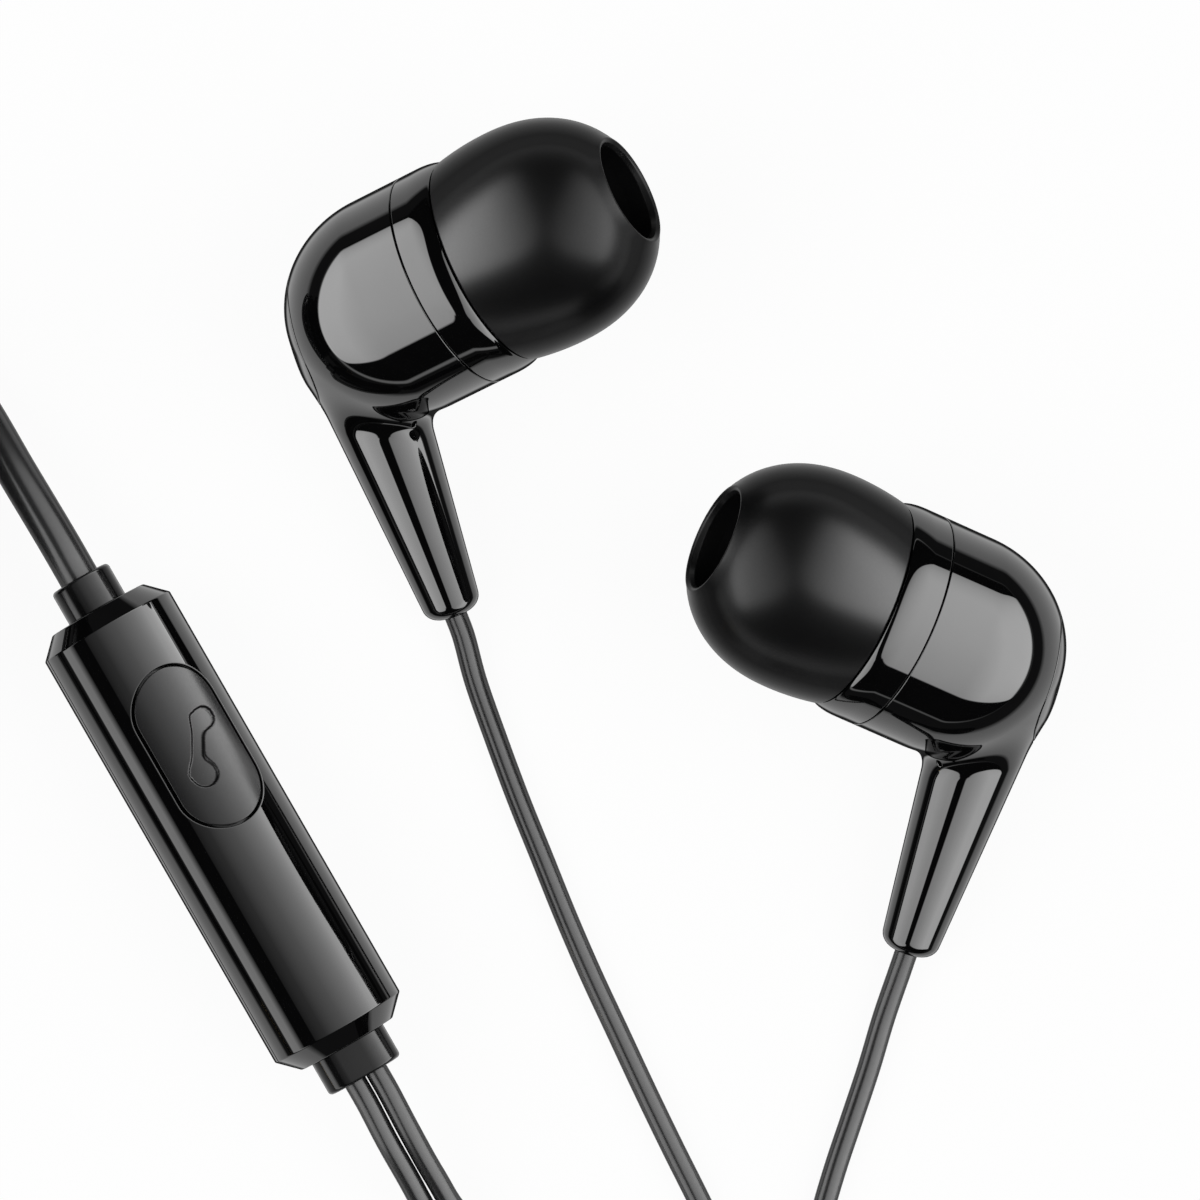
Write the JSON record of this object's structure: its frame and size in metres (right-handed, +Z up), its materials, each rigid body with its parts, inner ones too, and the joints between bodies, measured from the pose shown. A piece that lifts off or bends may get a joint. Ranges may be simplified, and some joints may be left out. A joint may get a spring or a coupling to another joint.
{
  "type": "wired earphones",
  "caption": "Wired in-ear earphones with angled stems, silicone tips, an inline remote with one call button, and thin cords to a 3.5 mm plug.",
  "frame": {"origin": "on the surface the earphones lie on, under the middle of the box round the two buds and the remote", "axes": "+Z up from that surface, +X from the remote towards the buds, +Y from the buds' cords towards the upper bud"},
  "size_m": [0.0956, 0.0837, 0.0147],
  "materials": {
    "gloss_shell": "mirror-smooth black",
    "tip_silicone": "matte black silicone",
    "button_plastic": "satin black",
    "collar_rubber": "satin black rubber",
    "cord_jacket": "satin dark grey jacket",
    "grip_plastic": "satin black",
    "frame_plastic": "matte black",
    "steel": "plain steel",
    "magnet": "nickel plated",
    "copper": "enamelled copper",
    "film": "clear amber film",
    "board": "green solder mask",
    "plunger_plastic": "ivory",
    "contact_gold": "gold plated"
  },
  "bodies": {
    "earphones": {"left_ear_tip": "tip_silicone", "left_front_shell": "gloss_shell", "left_rear_shell": "gloss_shell", "left_back_cap": "gloss_shell", "left_nozzle_mesh": "steel", "left_driver_frame": "frame_plastic", "left_yoke": "steel", "left_magnet": "magnet", "left_top_washer": "steel", "left_voice_coil": "copper", "left_diaphragm": "film", "left_tag_board": "board", "left_leads": "copper", "left_crimp": "steel", "right_ear_tip": "tip_silicone", "right_front_shell": "gloss_shell", "right_rear_shell": "gloss_shell", "right_back_cap": "gloss_shell", "right_nozzle_mesh": "steel", "right_driver_frame": "frame_plastic", "right_yoke": "steel", "right_magnet": "magnet", "right_top_washer": "steel", "right_voice_coil": "copper", "right_diaphragm": "film", "right_tag_board": "board", "right_leads": "copper", "right_crimp": "steel", "remote_front_shell": "gloss_shell", "remote_back_shell": "gloss_shell", "main_collar": "collar_rubber", "branch_collar": "collar_rubber", "circuit_board": "board", "switch_case": "steel", "microphone": "steel", "main_crimp": "steel", "branch_crimps": "steel", "remote_leads": "copper", "plug_tip": "contact_gold", "plug_ring_upper": "contact_gold", "plug_ring_lower": "contact_gold", "plug_sleeve": "contact_gold", "plug_insulator": "frame_plastic", "plug_grip": "grip_plastic", "plug_relief": "collar_rubber", "left_cord": "cord_jacket", "left_coil": "cord_jacket", "left_cord_return": "cord_jacket", "right_cord": "cord_jacket", "right_coil": "cord_jacket", "right_cord_return": "cord_jacket", "main_cord": "cord_jacket", "main_coil": "cord_jacket", "main_cord_tail": "cord_jacket"},
    "button": {"call_button": "button_plastic", "switch_plunger": "plunger_plastic"}
  },
  "joints": [
    {"name": "button_press", "type": "slide", "parent": "earphones", "child": "button", "axis": [-0.3078, -0.177, -0.9348], "range_m": [0, 0.00025], "stiffness_N_per_m": 2000}
  ]
}
